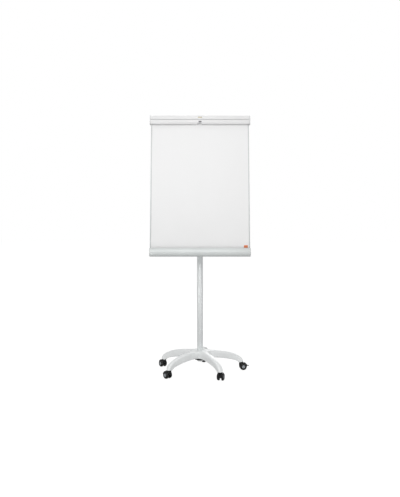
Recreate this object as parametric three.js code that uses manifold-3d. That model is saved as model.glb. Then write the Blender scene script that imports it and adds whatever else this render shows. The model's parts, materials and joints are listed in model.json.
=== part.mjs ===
// Mobile flipchart easel: a whiteboard that leans back on a telescopic column, over a star base on castors.
// Millimetres, +Z up, floor at z = 0, board facing -Y. The origin is under the middle of the base.
import * as THREE from "three";
import { mergeVertices } from "three/addons/utils/BufferGeometryUtils.js";
import Module from "manifold-3d";

const wasm = await Module();
wasm.setup();

// ---------------------------------------------------------------- driving sizes
const gap = 0.3; // between pieces that touch or slide

// Star base
const legCircle = 300; // radius of the circle that the castor stems stand on
const legAzimuths = { front_right: 27, back_right: 99, back: 171, back_left: 243, front_left: 315 };
const hubTop = 154.5;
const hubUnder = 104;
const legHalfWidth = 21;
const hubFlare = 27; // extra half width of a leg where it joins the hub
const flareReach = 21;
const tipRadius = 17;
const crownRadius = 12;
const legWall = 3.5;
const legCurve = 2.25; // power of the curve of a leg's back
const archCurve = 1.8; // and of its underside
const hubDome = 36; // radius of the raised top of the hub
const hubSkirt = 52;
const bossWall = 5.5;
const bossFloor = 2.7;
const bossBottom = 91.5;

// Castors
const castorHeight = 55.5; // floor to the underside of a leg's tip
const wheelDiameter = 50;
const wheelWidth = 16;
const wheelsApart = 17;
const wheelShoulder = 9; // rounding of a wheel's outer edge
const wheelSides = 24;
const castorTrail = 16; // stem to axle
const axleRadius = 4;
const stemRadius = 5.5;
const stemLength = 29; // in the leg
const stemCollar = 9;
const collarPlate = 2;
const hoodWall = 2.1;
const hoodHalfWidth = 19;
const hoodBoss = 12;
const axleEye = 11; // radius of the web round the axle
const wheelClearance = 0.9;
const hubCapRadius = 14;
const hubCapDepth = 2;
const axleCover = 5; // wheel's outer face to the end of its bore
const stemOverAxle = 6; // axle to the foot of the stem
const pedalReach = 44; // wheel centre to the end of the pedal's tab
const pedalWidth = 18;
const pedalPlate = 2.4;
const brakedCastors = ["back_right", "front_left"];
const castorTrails = { front_right: 164, back_right: 99, back: 261, back_left: 213, front_left: 221 };

// Column
const columnDiameter = 42;
const columnWall = 2;
const columnTop = 1004.5;
const innerDiameter = 34;
const innerWall = 2;
const insertion = 370; // length of the inner tube that stands in the column
const bushLength = 50;
const keyWidth = 5;
const keyDepth = 1.1;
const plugLength = 25;
const boltRadius = 5;
const baseBoltHead = 20.5;
const baseBoltDrop = 17;
const collarWall = 8;
const collarGrip = 27; // how far the collar reaches down the column
const collarRise = 28; // and above it
const earThickness = 9;
const earReach = 34; // ears, out from the collar
const screwInset = 8; // clamp screw to the ears' ends
const slit = 3;
const clampScrew = 4;
const knobRadius = 16.5;
const knobLobe = 2.3;
const knobLobes = 5;
const knobThickness = 17;

// Head, which carries the board on a pivot in front of the column
const pivotHeight = 1344.5;
const pivotForward = 40;
const lean = 7.4; // degrees from upright
const tongueWidth = 24;
const tongueRadius = 13;
const socketWall = 4.7;
const socketDepth = 70;
const socketCap = 8;
const socketRise = 28;
const earPlate = 4;
const bracketPlate = 3;
const bracketReach = 19.7; // pivot to the rear face of the bracket's plate
const bracketHalfWidth = 55;
const bracketHalfHeight = 90;
const bracketHole = 2.6;
const bracketHoleInset = 14;
const bracketFlange = 9;
const boltHead = 9.2;
const boltHeadHeight = 7;
const boltInKnob = 13;

// Board, measured from the pivot
const boardHalfWidth = 350;
const boardTop = 483;
const boardBottom = -520;
const faceSheet = 0.6;
const coreThickness = 8.9;
const backSheet = 0.5;
const frameWall = 1.5;
const frameFace = 8;

// Top rail and pad clamp
const railWall = 2;
const railDepth = 27; // rail in front of the panel
const railOverhang = 2; // rail beyond the board's frame
const railEnd = 6.2;
const bandHeight = 26;
const railBackHeight = 43;
const railSkirt = 53; // rail's wall in front of the panel
const channelTop = 34; // below boardTop
const channelHeight = 17;
const channelDepth = 6.7;
const channelLip = 2.4;
const channelLipWall = 1.5;
const flapHeight = 59; // boardTop to the flap's lower edge
const flapAxisDrop = 33;
const flapAxisInset = 6.5;
const flapBarrel = 4.8;
const flapTopDrop = 28;
const padGap = 3; // flap's lip to the panel
const flapChinHeight = 12; // the flap's lower edge, which slopes in
const flapChinDepth = 4;
const pinRadius = 2;
const pinDepth = 13; // pin in the flap's barrel
const springTurns = 3;
const springWire = 0.6;
const springRadius = 3;
const springRoom = 13;
const notchRadius = 24;
const notchHeight = 9;
const tabWidth = 20;
const tabHeight = 8;
const tabAboveNotch = 3;
const badgeWidth = 30;
const badgeHeight = 8;
const badgeDrop = 8.5;
const trimThickness = 1.5;
const hookSpacing = 480;
const hookBlock = 20;
const pegRadius = 3.5;
const pegHead = 4.2;
const pegClearance = 3.3; // peg's end to the flap

// Pen tray
const trayHeight = 57;
const trayWall = 2;
const trayBelly = 44; // tray in front of the panel
const trayCurveDepth = 26;
const trayCurveHeight = 30;
const trayCurveLow = -75.2; // degrees
const trayCurveHigh = 69;
const trayCurveSteps = 9;
const trayBackHeight = 50;
const trayGroove = 21;
const trayEnd = 3.5;

// Corner label
const labelWidth = 27;
const labelHeight = 18;
const labelInset = 30; // label's centre to the board's edge
const labelAboveTray = 4;
const labelThickness = 0.6;

// ---------------------------------------------------------------- worked-out places
const columnInside = columnDiameter / 2 - columnWall;
const innerRadius = innerDiameter / 2;
const columnFoot = bossBottom + bossFloor + gap;
const innerFoot = columnTop - insertion;
const bracketSide = tongueWidth / 2 + gap + earPlate + gap; // where the bolt's head and the knob bear
const innerTop = pivotHeight + socketRise - socketCap;
const collarOuter = columnDiameter / 2 + gap + collarWall;
const clampScrewAt = collarOuter + earReach - screwInset; // behind the column's axis
const wheelRadius = wheelDiameter / 2;
const wheelInner = wheelsApart / 2;
const wheelOuter = wheelInner + wheelWidth;
const hoodInside = wheelRadius + wheelClearance;
const hoodOutside = hoodInside + hoodWall;

const railHalfWidth = boardHalfWidth + railOverhang;
const labelX = boardHalfWidth - labelInset;

const panelBack = -(bracketReach + bracketPlate + gap);
const coreBack = panelBack - backSheet - gap;
const faceBack = coreBack - coreThickness - gap;
const panelFront = faceBack - faceSheet;
const panelHalfWidth = boardHalfWidth - frameWall - gap;
const panelTop = boardTop - railWall - gap;
const panelBottom = boardBottom + trayWall + gap;
const railFront = panelFront - railDepth;
const railBack = panelBack + gap + railWall;
const railMidBack = panelFront - gap;
const railMidFront = railMidBack - railWall;
const flapBottom = boardTop - flapHeight;
const flapAxis = { y: railFront + flapAxisInset, z: boardTop - flapAxisDrop };
const channelFront = railMidFront - channelDepth;
const channelMiddle = boardTop - channelTop - channelHeight / 2;
const trayTop = boardBottom + trayHeight;
const trayMidFront = railMidBack - trayWall;

// ---------------------------------------------------------------- materials
function paint(color, roughness, metalness) {
  return new THREE.MeshStandardMaterial({ color, roughness, metalness });
}

const greyPaint = paint(0xdcdedd, 0.4, 0.2);
const tubePaint = paint(0xd2d7d6, 0.35, 0.4);
const whitePaint = paint(0xf2f2f1, 0.25, 0.1);
const silver = paint(0xd0d5d4, 0.4, 0.5);
const railPaint = paint(0xe4e4e4, 0.4, 0.2);
const steel = paint(0xa8abae, 0.35, 0.9);
const blackPlastic = paint(0x17191b, 0.4, 0);
const slatePlastic = paint(0x2f3539, 0.45, 0);
const boardCore = paint(0xb9a58a, 0.9, 0);
const bronze = paint(0xa59c86, 0.4, 0.5);
const orange = paint(0xe0692e, 0.5, 0);

// ---------------------------------------------------------------- shapes
const matrixOf = (x, y, z) => new THREE.Matrix4().makeTranslation(x, y, z);

// A closed geometry as a solid that can be joined and cut.
function solid(geometry, matrix = new THREE.Matrix4()) {
  const flat = geometry.index ? geometry.toNonIndexed() : geometry;
  const bare = new THREE.BufferGeometry();
  bare.setAttribute("position", flat.getAttribute("position").clone());
  bare.applyMatrix4(matrix);
  const merged = mergeVertices(bare, 1e-3);
  const vertProperties = merged.attributes.position.array;
  const triVerts = new Uint32Array(merged.index.array);
  return new wasm.Manifold(new wasm.Mesh({ numProp: 3, vertProperties, triVerts }));
}

function geometryOf(made) {
  const { vertProperties, triVerts } = made.getMesh();
  const geometry = new THREE.BufferGeometry();
  geometry.setAttribute("position", new THREE.BufferAttribute(new Float32Array(vertProperties), 3));
  geometry.setIndex(new THREE.BufferAttribute(new Uint32Array(triVerts), 1));
  geometry.computeVertexNormals();
  return geometry;
}

// A span of x, from a to b out from the middle, on the right (side 1) or on the left (side -1).
const onSide = (side, a, b) => (side > 0 ? [a, b] : [-b, -a]);

const joined = (first, ...others) => others.reduce((all, next) => all.add(next), first);
const cut = (first, ...others) => others.reduce((all, next) => all.subtract(next), first);

function block([x0, x1], [y0, y1], [z0, z1]) {
  const box = new THREE.BoxGeometry(x1 - x0, y1 - y0, z1 - z0);
  return solid(box, matrixOf((x0 + x1) / 2, (y0 + y1) / 2, (z0 + z1) / 2));
}

// A rod along X, Y or Z from one end to the other, on the line through the two other coordinates.
function rod(axis, radius, [from, to], [a, b] = [0, 0], sides = 16) {
  const cylinder = new THREE.CylinderGeometry(radius, radius, to - from, sides);
  cylinder.rotateY(Math.PI / sides);
  if (axis === "x") cylinder.rotateZ(-Math.PI / 2);
  if (axis === "z") cylinder.rotateX(Math.PI / 2);
  const middle = (from + to) / 2;
  const place = { x: [middle, a, b], y: [a, middle, b], z: [a, b, middle] }[axis];
  return solid(cylinder, matrixOf(...place));
}

// A tube on Z.
function tube(outer, inner, [from, to], sides = 32) {
  return cut(rod("z", outer, [from, to], [0, 0], sides), rod("z", inner, [from - 1, to + 1], [0, 0], sides));
}

// An outline in the Y-Z plane, drawn out along X.
function drawnAlongX(outline, [x0, x1]) {
  const shape = new THREE.Shape(outline.map(([y, z]) => new THREE.Vector2(y, z)));
  const extruded = new THREE.ExtrudeGeometry(shape, { depth: x1 - x0, bevelEnabled: false });
  const toX = new THREE.Matrix4().makeBasis(
    new THREE.Vector3(0, 1, 0),
    new THREE.Vector3(0, 0, 1),
    new THREE.Vector3(1, 0, 0),
  );
  return solid(extruded, toX.setPosition(x0, 0, 0));
}

// An outline in the X-Z plane, drawn out along Y.
function drawnAlongY(outline, [y0, y1]) {
  const shape = new THREE.Shape(outline.map(([x, z]) => new THREE.Vector2(x, z)));
  const extruded = new THREE.ExtrudeGeometry(shape, { depth: y1 - y0, bevelEnabled: false });
  extruded.rotateX(Math.PI / 2);
  return solid(extruded, matrixOf(0, y1, 0));
}

// A closed profile of [radius, height] points turned about Z.
function turned(profile, sides) {
  const points = profile.map(([r, h]) => new THREE.Vector2(r, h));
  const lathe = new THREE.LatheGeometry([...points, points[0]], sides);
  lathe.rotateX(Math.PI / 2);
  return solid(lathe);
}

// A skin over cross-sections that all have the same number of points, closed at both ends.
function lofted(sections) {
  const around = sections[0].length;
  const positions = sections.flat().flatMap((p) => [p.x, p.y, p.z]);
  const faces = [];
  for (let s = 0; s + 1 < sections.length; s++) {
    for (let i = 0; i < around; i++) {
      const here = s * around + i;
      const next = s * around + ((i + 1) % around);
      faces.push(here, next, here + around, next, next + around, here + around);
    }
  }
  const last = (sections.length - 1) * around;
  for (let i = 1; i + 1 < around; i++) {
    faces.push(0, i + 1, i);
    faces.push(last, last + i, last + i + 1);
  }
  const geometry = new THREE.BufferGeometry();
  geometry.setAttribute("position", new THREE.Float32BufferAttribute(positions, 3));
  geometry.setIndex(faces);
  return solid(geometry);
}

const arc = (cy, cz, ry, rz, from, to, steps) =>
  Array.from({ length: steps + 1 }, (_, i) => {
    const angle = THREE.MathUtils.degToRad(from + ((to - from) * i) / steps);
    return [cy + ry * Math.cos(angle), cz + rz * Math.sin(angle)];
  });

const easel = new THREE.Group();

function add(parent, name, made, material) {
  const mesh = new THREE.Mesh(geometryOf(made), material);
  mesh.name = name;
  parent.add(mesh);
  return mesh;
}

// ---------------------------------------------------------------- star base
const archEnd = legCircle - tipRadius;
const legEnd = legCircle + tipRadius;

function legTopAt(r) {
  const share = Math.pow(Math.min(r / legEnd, 1), legCurve);
  return castorHeight + (hubTop - castorHeight) * Math.pow(1 - share, 1 / legCurve);
}

function legUnderAt(r) {
  const share = Math.pow(Math.min(r / archEnd, 1), archCurve);
  return castorHeight + (hubUnder - castorHeight) * Math.pow(1 - share, 1 / archCurve);
}

function legHalfAt(r) {
  if (r > legCircle) return Math.sqrt(Math.max(tipRadius ** 2 - (r - legCircle) ** 2, 0));
  const taper = THREE.MathUtils.lerp(legHalfWidth, tipRadius, Math.min(r / legCircle, 1));
  return taper + hubFlare * Math.exp(-Math.max(r - flareReach * 2, 0) / flareReach);
}

// A cross-section of a leg that runs along +X, inset from the outer skin and lowered by drop underneath.
function legSection(r, inset, drop) {
  const half = Math.max(legHalfAt(r) - inset, 0.5);
  const top = legTopAt(r) - inset;
  const under = Math.min(legUnderAt(r) - drop, top - 1);
  const crown = Math.min(crownRadius, half * 0.9, (top - under) * 0.8);
  const side = [30, 60].map((a) => THREE.MathUtils.degToRad(a));
  const left = [
    [half, under],
    [half, top - crown],
    ...side.map((a) => [half - crown + crown * Math.cos(a), top - crown + crown * Math.sin(a)]),
    [half - crown, top],
  ];
  const right = left.map(([y, z]) => [-y, z]).reverse();
  return [...left, ...right].map(([y, z]) => new THREE.Vector3(r, y, z));
}

function leg() {
  const angles = [4, 12, 20, 28, 36, 45, 54, 63, 72, 81];
  const alongArch = angles.map((angle) => archEnd * Math.sin(THREE.MathUtils.degToRad(angle)));
  const alongTip = [0, 0.5, 1, 1.35, 1.7, 1.9, 1.98].map((share) => archEnd + share * tipRadius);
  const skin = lofted([...alongArch, ...alongTip].map((r) => legSection(r, 0, 0)));
  const hollowEnd = archEnd - tipRadius;
  const hollowStations = alongArch.filter((r) => r < hollowEnd - tipRadius);
  const hollow = lofted([...hollowStations, hollowEnd].map((r) => legSection(r, legWall, 2 * legWall)));
  const socketTop = castorHeight + stemLength + gap;
  const socket = rod("z", stemRadius + gap, [castorHeight - 1, socketTop], [legCircle, 0], 12);
  return { skin, hollow, socket };
}

function starBase() {
  const one = leg();
  const turns = Object.values(legAzimuths).map((azimuth) => azimuth - 90);
  const all = (piece) => turns.map((turn) => piece.rotate([0, 0, turn]));
  const dome = turned(
    [
      [0, hubUnder],
      [hubSkirt, hubUnder],
      [hubSkirt, hubTop - crownRadius],
      [hubDome, hubTop - 1],
      [0, hubTop],
    ],
    30,
  );
  const underDome = rod("z", hubSkirt - legWall, [hubUnder - 1, hubTop - crownRadius - legWall], [0, 0], 30);
  const outer = joined(dome, ...all(one.skin));
  const shell = cut(outer, underDome, ...all(one.hollow), ...all(one.socket));
  const boss = rod("z", columnDiameter / 2 + gap + bossWall, [bossBottom, hubTop - legWall], [0, 0], 32);
  const seat = rod("z", columnDiameter / 2 + gap, [bossBottom + bossFloor, hubTop + 1], [0, 0], 32);
  const boltHole = rod("z", boltRadius + gap, [bossBottom - 1, hubTop], [0, 0], 16);
  return cut(joined(shell, boss), seat, boltHole);
}

// ---------------------------------------------------------------- column
function columnPlug() {
  const body = rod("z", columnInside - gap, [columnFoot, columnFoot + plugLength], [0, 0], 24);
  return cut(body, rod("z", boltRadius + gap, [columnFoot - 1, columnFoot + plugLength + 1]));
}

function baseBolt() {
  const top = bossBottom - gap;
  const head = rod("z", baseBoltHead, [top - baseBoltDrop, top], [0, 0], 24);
  return joined(head, rod("z", boltRadius, [top - 1, columnFoot + plugLength - 4]));
}

function guideBush() {
  const flange = [columnTop + gap, columnTop + gap + columnWall];
  const sleeve = joined(
    tube(columnInside - gap, innerRadius + gap, [columnTop - bushLength, flange[1]], 32),
    tube(columnDiameter / 2 - 0.5, innerRadius + gap, flange, 32),
  );
  const half = keyWidth / 2;
  const keyInside = innerRadius + gap - keyDepth;
  const key = block([-half, half], [keyInside, innerRadius + 1], [columnTop - bushLength, flange[1]]);
  return joined(sleeve, key);
}

function clampCollar() {
  const shoulder = columnTop + 2 * gap + columnWall;
  const bottom = columnTop - collarGrip;
  const top = columnTop + collarRise;
  const reach = collarOuter + earReach;
  const across = slit / 2 + earThickness;
  const ears = block([-across, across], [collarOuter - collarWall, reach], [columnTop, top]);
  const body = joined(rod("z", collarOuter, [bottom, top], [0, 0], 32), ears);
  return cut(
    body,
    rod("z", columnDiameter / 2 + gap, [bottom - 1, shoulder], [0, 0], 32),
    rod("z", innerRadius + gap, [shoulder - 1, top + 1], [0, 0], 32),
    block([-slit / 2, slit / 2], [0, reach + 1], [bottom - 1, top + 1]),
    rod("x", clampScrew + gap, [-collarOuter, collarOuter], [clampScrewAt, columnTop + collarRise / 2]),
  );
}

// A lobed hand knob on X, whose inner face is at x = 0.
function lobedKnob() {
  const outline = Array.from({ length: knobLobes * 4 }, (_, i) => {
    const angle = (i / (knobLobes * 4)) * 2 * Math.PI;
    const radius = knobRadius + knobLobe * Math.cos(knobLobes * angle);
    return [radius * Math.cos(angle), radius * Math.sin(angle)];
  });
  const neck = 5;
  const collar = rod("x", knobRadius / 2, [0, neck + 1]);
  return joined(drawnAlongX(outline, [neck, neck + knobThickness]), collar);
}

function heightKnob() {
  const screw = rod("x", clampScrew, [-slit - 2 * earThickness + 2, 2]);
  return joined(lobedKnob(), screw);
}

function innerTube() {
  const wall = tube(innerRadius, innerRadius - innerWall, [innerFoot, innerTop], 32);
  const half = keyWidth / 2 + gap;
  const grooveFloor = innerRadius + gap - keyDepth - gap;
  const grooveTop = pivotHeight - socketDepth + socketRise;
  return cut(wall, block([-half, half], [grooveFloor, innerRadius + 1], [innerFoot - 1, grooveTop]));
}

// ---------------------------------------------------------------- head
function headSocket() {
  const top = pivotHeight + socketRise;
  const sleeve = rod("z", innerRadius + gap + socketWall, [top - socketDepth - socketCap, top], [0, 0], 32);
  const round = arc(-pivotForward, pivotHeight, -tongueRadius, tongueRadius, 100, -100, 8);
  const tongue = drawnAlongX(
    [...round, [-innerRadius, pivotHeight - 1.9 * tongueRadius], [-innerRadius, top]],
    [-tongueWidth / 2, tongueWidth / 2],
  );
  return cut(
    joined(sleeve, tongue),
    rod("z", innerRadius + gap, [top - socketDepth - socketCap - 1, innerTop + gap], [0, 0], 32),
    rod("x", boltRadius + gap, [-tongueWidth, tongueWidth], [-pivotForward, pivotHeight]),
  );
}

function boardBracket() {
  const inside = tongueWidth / 2 + gap;
  const plateBack = -bracketReach;
  const plate = block(
    [-bracketHalfWidth, bracketHalfWidth],
    [plateBack - bracketPlate, plateBack],
    [-bracketHalfHeight, bracketHalfHeight],
  );
  const flanges = [-1, 1].map((side) => {
    const edges = onSide(side, bracketHalfWidth - bracketPlate, bracketHalfWidth);
    return block(edges, [plateBack - 1, plateBack + bracketFlange], [-bracketHalfHeight, bracketHalfHeight]);
  });
  const round = arc(0, 0, tongueRadius, tongueRadius, -80, 80, 8);
  const outline = [...round, [plateBack - 1, 35], [plateBack - 1, -35]];
  const ears = [-1, 1].map((side) => {
    return drawnAlongX(outline, onSide(side, inside, inside + earPlate));
  });
  const holes = [-1, 1].flatMap((x) =>
    [-1, 1].map((z) =>
      rod(
        "y",
        bracketHole,
        [plateBack - 2 * bracketPlate, plateBack + 1],
        [x * (bracketHalfWidth - bracketHoleInset), z * (bracketHalfHeight - bracketHoleInset)],
        12,
      ),
    ),
  );
  return cut(joined(plate, ...flanges, ...ears), rod("x", boltRadius + gap, [-40, 40]), ...holes);
}

function tiltBolt() {
  const head = rod("x", boltHead, [-bracketSide - boltHeadHeight, -bracketSide], [0, 0], 6);
  return joined(head, rod("x", boltRadius, [-bracketSide - 1, bracketSide + boltInKnob]));
}

function tiltKnob() {
  return cut(lobedKnob(), rod("x", boltRadius + gap, [-1, boltInKnob + gap]));
}

// ---------------------------------------------------------------- board
const panel = (front, back, top = panelTop, bottom = panelBottom) =>
  block([-panelHalfWidth, panelHalfWidth], [front, back], [bottom, top]);

function frameSide(side) {
  const low = boardBottom + trayBackHeight + gap;
  const high = boardTop - railSkirt - gap;
  const face = onSide(side, boardHalfWidth - frameFace, boardHalfWidth);
  const lipFront = [railMidBack - frameWall, railMidBack];
  const lipBack = [panelBack + gap, panelBack + gap + frameWall];
  return joined(
    block(onSide(side, panelHalfWidth + gap, boardHalfWidth), [lipFront[0], lipBack[1]], [low, high]),
    block(face, lipFront, [low, high]),
    block(face, lipBack, [low, high]),
  );
}

function topRail() {
  const top = boardTop;
  const under = top - railWall;
  const ribTop = top - channelTop;
  const ribBottom = ribTop - channelHeight;
  const lipBack = channelFront + channelLipWall;
  const upperRoom = ribTop - railWall;
  const lowerRoom = ribBottom + railWall;
  const outline = [
    [railBack, top - railBackHeight],
    [railBack, top],
    [railFront, top],
    [railFront, top - bandHeight],
    [railFront + railWall, top - bandHeight],
    [railFront + railWall, under],
    [railMidFront, under],
    [railMidFront, ribTop],
    [channelFront, ribTop],
    [channelFront, upperRoom - channelLip],
    [lipBack, upperRoom - channelLip],
    [lipBack, upperRoom],
    [railMidFront, upperRoom],
    [railMidFront, lowerRoom],
    [lipBack, lowerRoom],
    [lipBack, lowerRoom + channelLip],
    [channelFront, lowerRoom + channelLip],
    [channelFront, ribBottom],
    [railMidFront, ribBottom],
    [railMidFront, top - railSkirt],
    [railMidBack, top - railSkirt],
    [railMidBack, under],
    [railBack - railWall, under],
    [railBack - railWall, top - railBackHeight],
  ];
  return drawnAlongX(outline, [-railHalfWidth, railHalfWidth]);
}

// An end plate over the rail and the flap, which the flap's pin stands in.
function railEndCap(side) {
  const near = railHalfWidth + gap;
  const corner = 3;
  const low = flapBottom - 0.5;
  const high = boardTop + 0.5;
  const front = railFront - 0.5;
  const outline = [
    [railBack, low],
    [railBack, high],
    [front + corner, high],
    [front, high - corner],
    [front, low + corner],
    [front + corner, low],
  ];
  const beyond = near + railEnd + 1;
  const pinHole = rod("x", pinRadius + gap, [-beyond, beyond], [flapAxis.y, flapAxis.z], 12);
  return cut(drawnAlongX(outline, onSide(side, near, near + railEnd)), pinHole);
}

const barrelEnd = railHalfWidth - springRoom;

function clampFlap() {
  const half = railHalfWidth - gap;
  const wall = [
    [railFront + flapChinDepth, flapBottom],
    [railFront, flapBottom + flapChinHeight],
    [railFront, boardTop - flapTopDrop],
    [railFront + railWall, boardTop - flapTopDrop],
    [railFront + railWall, flapBottom + flapChinHeight],
    [railFront + railWall + flapChinDepth, flapBottom + railWall],
    [panelFront - padGap, flapBottom + railWall],
    [panelFront - padGap, flapBottom],
  ];
  const skin = drawnAlongX(wall, [-half, half]);
  const barrel = rod("x", flapBarrel, [-barrelEnd, barrelEnd], [flapAxis.y, flapAxis.z], 16);
  const bores = [-1, 1].map((side) => {
    const ends = onSide(side, barrelEnd - pinDepth - 1, barrelEnd + 1);
    return rod("x", pinRadius + gap, ends, [flapAxis.y, flapAxis.z], 12);
  });
  const notchCentre = flapBottom + notchHeight - notchRadius;
  const notch = rod("y", notchRadius, [railFront - 5, panelFront], [0, notchCentre], 32);
  return cut(joined(skin, barrel), ...bores, notch);
}

function clampPin(side) {
  const ends = onSide(side, barrelEnd - pinDepth, railHalfWidth + gap + railEnd - 0.5);
  return rod("x", pinRadius, ends, [flapAxis.y, flapAxis.z], 12);
}

class Coil extends THREE.Curve {
  constructor(start, length) {
    super();
    this.start = start;
    this.length = length;
  }
  getPoint(t) {
    const angle = t * springTurns * 2 * Math.PI;
    const y = flapAxis.y + springRadius * Math.cos(angle);
    const z = flapAxis.z + springRadius * Math.sin(angle);
    return new THREE.Vector3(this.start + t * this.length, y, z);
  }
}

function clampSpring(side) {
  const length = springRoom - 4;
  const start = side > 0 ? barrelEnd + 2 : -barrelEnd - 2 - length;
  const section = new THREE.Shape(
    arc(0, 0, springWire, springWire, 0, 300, 5).map(([x, y]) => new THREE.Vector2(x, y)),
  );
  const steps = springTurns * 12;
  const extrudePath = new Coil(start, length);
  return solid(new THREE.ExtrudeGeometry(section, { steps, extrudePath, bevelEnabled: false }));
}

// A thin plate on the front of the clamp bar.
function trim(width, bottom, height) {
  const back = railFront - gap;
  return block([-width / 2, width / 2], [back - trimThickness, back], [bottom, bottom + height]);
}

function padHook() {
  const half = hookBlock / 2;
  const room = channelHeight / 2 - railWall - gap;
  const front = channelFront + channelLipWall + gap;
  const back = railMidFront - gap;
  const slider = block([-half, half], [front, back], [channelMiddle - room, channelMiddle + room]);
  const tip = railFront + railWall + pegClearance;
  return joined(
    slider,
    rod("y", pegRadius, [tip + 1, front + 1], [0, channelMiddle], 14),
    rod("y", pegHead, [tip, tip + 2.5], [0, channelMiddle], 14),
  );
}

// ---------------------------------------------------------------- pen tray
function trayCurve(inset) {
  const centreY = panelFront - trayBelly + trayCurveDepth;
  const centreZ = trayTop - trayCurveHeight * Math.sin(THREE.MathUtils.degToRad(trayCurveHigh));
  const depth = trayCurveDepth - inset;
  const height = trayCurveHeight - inset;
  return arc(centreY, centreZ, -depth, height, trayCurveLow, trayCurveHigh, trayCurveSteps);
}

function penTray() {
  const floor = boardBottom + trayWall;
  const inside = trayCurve(trayWall).filter(([, z]) => z > floor);
  const outline = [
    [railBack, boardBottom],
    [railBack, boardBottom + trayBackHeight],
    [railBack - trayWall, boardBottom + trayBackHeight],
    [railBack - trayWall, floor],
    [railMidBack, floor],
    [railMidBack, boardBottom + trayWall + trayGroove],
    [trayMidFront, boardBottom + trayWall + trayGroove],
    [trayMidFront, floor],
    ...inside,
    ...trayCurve(0).reverse(),
  ];
  return drawnAlongX(outline, [-panelHalfWidth, panelHalfWidth]);
}

function trayEndCap(side) {
  const step = boardBottom + trayBackHeight - 1;
  const outline = [
    [railBack, boardBottom],
    [railBack, step],
    [railMidBack - frameWall - 1, step],
    [railMidBack - frameWall - 1, trayTop],
    ...trayCurve(0).reverse(),
  ];
  const near = panelHalfWidth + gap;
  return drawnAlongX(outline, onSide(side, near, near + trayEnd));
}

function cornerLabel() {
  const bottom = trayTop + labelAboveTray;
  const front = panelFront - gap - labelThickness;
  return block(
    [labelX - labelWidth / 2, labelX + labelWidth / 2],
    [front, front + labelThickness],
    [bottom, bottom + labelHeight],
  );
}

// ---------------------------------------------------------------- castors: stem on Z, trailing along +X
function castorStem() {
  const collarTop = castorHeight - gap;
  const collar = rod("z", stemCollar, [collarTop - collarPlate, collarTop], [0, 0], 16);
  const foot = wheelRadius + axleRadius + stemOverAxle;
  const pin = rod("z", stemRadius, [foot, castorHeight + stemLength], [0, 0], 12);
  return joined(collar, pin);
}

function castorHood() {
  const top = castorHeight - collarPlate - 2 * gap;
  const centre = [castorTrail, wheelRadius];
  const stemFoot = wheelRadius + axleRadius + stemOverAxle - gap;
  const outer = arc(...centre, hoodOutside, hoodOutside, 4, 140, 11);
  const inner = arc(...centre, hoodInside, hoodInside, 140, 4, 11);
  const fender = drawnAlongY([...outer, ...inner], [-hoodHalfWidth, hoodHalfWidth]);
  const web = drawnAlongY(
    [
      [-hoodBoss, top],
      [-hoodBoss, wheelRadius + axleRadius],
      ...arc(...centre, axleEye, axleEye, 215, 325, 5),
      ...arc(...centre, hoodInside + 1, hoodInside + 1, 5, 90, 6),
    ],
    [-wheelInner + wheelClearance / 2, wheelInner - wheelClearance / 2],
  );
  const wheelRoom = rod("y", hoodInside, [-hoodHalfWidth, hoodHalfWidth], centre, wheelSides);
  const boss = cut(rod("z", hoodBoss, [wheelRadius + hoodInside / 2, top], [0, 0], 20), wheelRoom);
  const stemBore = rod("z", stemRadius + gap, [stemFoot, top + 1], [0, 0], 12);
  const axleBore = rod("y", axleRadius + gap, [-hoodHalfWidth, hoodHalfWidth], centre, 12);
  return cut(joined(fender, web, boss), stemBore, axleBore);
}

function castorAxle() {
  const end = wheelOuter - axleCover - gap;
  return rod("y", axleRadius, [-end, end], [castorTrail, wheelRadius], 12);
}

// A wheel of flat-sided tread whose lowest flat lies on the floor. side is 1 or -1.
function castorWheel(side) {
  const round = wheelRadius / Math.cos(Math.PI / wheelSides);
  const boreEnd = wheelOuter - axleCover;
  const recess = wheelOuter - hubCapDepth;
  const edge = [round - wheelShoulder, wheelOuter - wheelShoulder];
  const profile = [
    [axleRadius + gap, wheelInner],
    [round - 2, wheelInner],
    [round, wheelInner + 2],
    ...arc(...edge, wheelShoulder, wheelShoulder, 0, 90, 4),
    [hubCapRadius + 1, wheelOuter],
    [hubCapRadius, recess],
    [0, recess],
    [0, boreEnd],
    [axleRadius + gap, boreEnd],
  ];
  const wheel = turned(profile, wheelSides).rotate([0, 0, 180 / wheelSides]);
  return wheel.rotate([-90 * side, 0, 0]).translate([castorTrail, 0, wheelRadius]);
}

function brakePedal() {
  const centre = [castorTrail, wheelRadius];
  const inside = hoodOutside + gap;
  const outside = inside + pedalPlate;
  const plate = drawnAlongY(
    [...arc(...centre, outside, outside, 8, 62, 6), ...arc(...centre, inside, inside, 62, 8, 6)],
    [-pedalWidth / 2, pedalWidth / 2],
  );
  const tab = drawnAlongY(
    [
      [castorTrail + inside, wheelRadius + 4.6],
      [castorTrail + pedalReach, wheelRadius + 3],
      [castorTrail + pedalReach, wheelRadius + 6.2],
      [castorTrail + inside, wheelRadius + 9],
    ],
    [-pedalWidth / 2, pedalWidth / 2],
  );
  return joined(plate, tab);
}

// ---------------------------------------------------------------- assembly
add(easel, "star_base", starBase(), greyPaint);
add(easel, "column_tube", tube(columnDiameter / 2, columnInside, [columnFoot, columnTop], 32), tubePaint);
add(easel, "column_plug", columnPlug(), slatePlastic);
add(easel, "base_bolt", baseBolt(), greyPaint);
add(easel, "guide_bush", guideBush(), blackPlastic);
add(easel, "clamp_collar", clampCollar(), blackPlastic);
const heightKnobMesh = add(easel, "height_knob", heightKnob(), blackPlastic);
heightKnobMesh.position.set(slit / 2 + earThickness + gap, clampScrewAt, columnTop + collarRise / 2);
add(easel, "inner_tube", innerTube(), steel);
add(easel, "head_socket", headSocket(), blackPlastic);

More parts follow.
